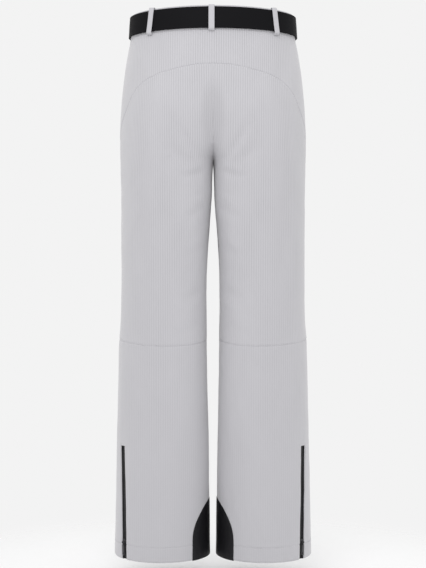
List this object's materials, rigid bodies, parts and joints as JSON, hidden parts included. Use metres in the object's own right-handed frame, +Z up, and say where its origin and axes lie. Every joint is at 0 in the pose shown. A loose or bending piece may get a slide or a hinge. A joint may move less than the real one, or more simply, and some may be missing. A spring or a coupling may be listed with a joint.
{
  "type": "ski pants",
  "caption": "Straight-leg stretch ski trousers with an arched back yoke, belt, zipped ankles, scuff guards, gaiters and a lever buckle.",
  "frame": {"origin": "middle of the waist opening, at the waistband's upper edge", "axes": "+Z up, the wearer faces -Y and the wearer's left leg is at +X"},
  "size_m": [0.382, 0.2281, 1.0499],
  "materials": {
    "shell": "fine vertical rib, matt",
    "band": "plain face of the shell cloth",
    "black_cloth": "matt",
    "lining": "smooth taffeta",
    "webbing": "smooth elastic webbing",
    "guard": "coated cut-proof cloth",
    "coil": "satin nylon",
    "zip_metal": "black satin",
    "buckle": "black satin",
    "snap": "dull nickel",
    "elastic": "ribbed elastic"
  },
  "bodies": {
    "trousers": {"back_yoke": "shell", "back_thigh_l": "shell", "back_thigh_r": "shell", "back_calf_l": "shell", "back_calf_r": "shell", "front_thigh_l": "shell", "front_thigh_r": "shell", "front_knee_l": "shell", "front_knee_r": "shell", "front_shin_l": "shell", "front_shin_r": "shell", "scuff_guard_l": "guard", "scuff_guard_r": "guard", "waistband_outer": "band", "waistband_facing": "black_cloth", "waistband_tab": "black_cloth", "loop_back_centre": "band", "loop_back_l": "band", "loop_back_r": "band", "loop_front_l": "band", "loop_front_r": "band", "belt_strap": "webbing", "belt_tip": "buckle", "buckle_frame": "buckle", "buckle_pin": "buckle", "snap_caps": "snap", "snap_sockets": "snap", "snap_studs": "snap", "fly_shield": "black_cloth", "fly_tape": "black_cloth", "fly_coil": "coil", "pocket_tape_l": "black_cloth", "pocket_tape_r": "black_cloth", "pocket_coil_l": "coil", "pocket_coil_r": "coil", "pocket_bag_l": "black_cloth", "pocket_bag_r": "black_cloth", "ankle_tape_l": "black_cloth", "ankle_tape_r": "black_cloth", "ankle_coil_l": "coil", "ankle_coil_r": "coil", "gaiter_l": "black_cloth", "gaiter_r": "black_cloth", "gaiter_elastic_l": "elastic", "gaiter_elastic_r": "elastic", "lining_l": "lining", "lining_r": "lining"},
    "ankle_left_slider": {"ankle_slider_l": "zip_metal"},
    "ankle_left_puller": {"ankle_pull_l": "zip_metal"},
    "ankle_right_slider": {"ankle_slider_r": "zip_metal"},
    "ankle_right_puller": {"ankle_pull_r": "zip_metal"},
    "pocket_left_slider": {"pocket_slider_l": "zip_metal"},
    "pocket_left_puller": {"pocket_pull_l": "zip_metal"},
    "pocket_right_slider": {"pocket_slider_r": "zip_metal"},
    "pocket_right_puller": {"pocket_pull_r": "zip_metal"},
    "fly_slider": {"fly_slider": "zip_metal"},
    "fly_puller": {"fly_pull": "zip_metal"},
    "buckle_lever": {"buckle_lever": "buckle"}
  },
  "joints": [
    {"name": "ankle_left_slide", "type": "slide", "parent": "trousers", "child": "ankle_left_slider", "axis": [0.0176, -0.0519, 0.9985], "range_m": [0, 0.175]},
    {"name": "ankle_left_swing", "type": "hinge", "parent": "ankle_left_slider", "child": "ankle_left_puller", "pos_m": [0.17089, 0.05468, -1.01302], "axis": [0.6116, -0.7895, -0.0518], "range_deg": [0, 150]},
    {"name": "ankle_right_slide", "type": "slide", "parent": "trousers", "child": "ankle_right_slider", "axis": [-0.0176, -0.0519, 0.9985], "range_m": [0, 0.175]},
    {"name": "ankle_right_swing", "type": "hinge", "parent": "ankle_right_slider", "child": "ankle_right_puller", "pos_m": [-0.17089, 0.05468, -1.01302], "axis": [0.6116, 0.7895, 0.0518], "range_deg": [0, 150]},
    {"name": "pocket_left_slide", "type": "slide", "parent": "trousers", "child": "pocket_left_slider", "axis": [0.1957, 0.042, -0.9798], "range_m": [0, 0.128]},
    {"name": "pocket_left_swing", "type": "hinge", "parent": "pocket_left_slider", "child": "pocket_left_puller", "pos_m": [0.14427, -0.04774, -0.07064], "axis": [-0.5496, -0.8227, -0.145], "range_deg": [0, 150]},
    {"name": "pocket_right_slide", "type": "slide", "parent": "trousers", "child": "pocket_right_slider", "axis": [-0.1957, 0.042, -0.9798], "range_m": [0, 0.128]},
    {"name": "pocket_right_swing", "type": "hinge", "parent": "pocket_right_slider", "child": "pocket_right_puller", "pos_m": [-0.14427, -0.04774, -0.07064], "axis": [-0.5496, 0.8227, 0.145], "range_deg": [0, 150]},
    {"name": "fly_slide", "type": "slide", "parent": "trousers", "child": "fly_slider", "axis": [0, -0.0106, -0.9999], "range_m": [0, 0.112]},
    {"name": "fly_swing", "type": "hinge", "parent": "fly_slider", "child": "fly_puller", "pos_m": [0, -0.08561, -0.05899], "axis": [-1, 0, 0], "range_deg": [0, 10]},
    {"name": "buckle_lever_hinge", "type": "hinge", "parent": "trousers", "child": "buckle_lever", "pos_m": [-0.025, -0.1056, -0.0225], "axis": [0, 0, -1], "range_deg": [0, 105]}
  ]
}
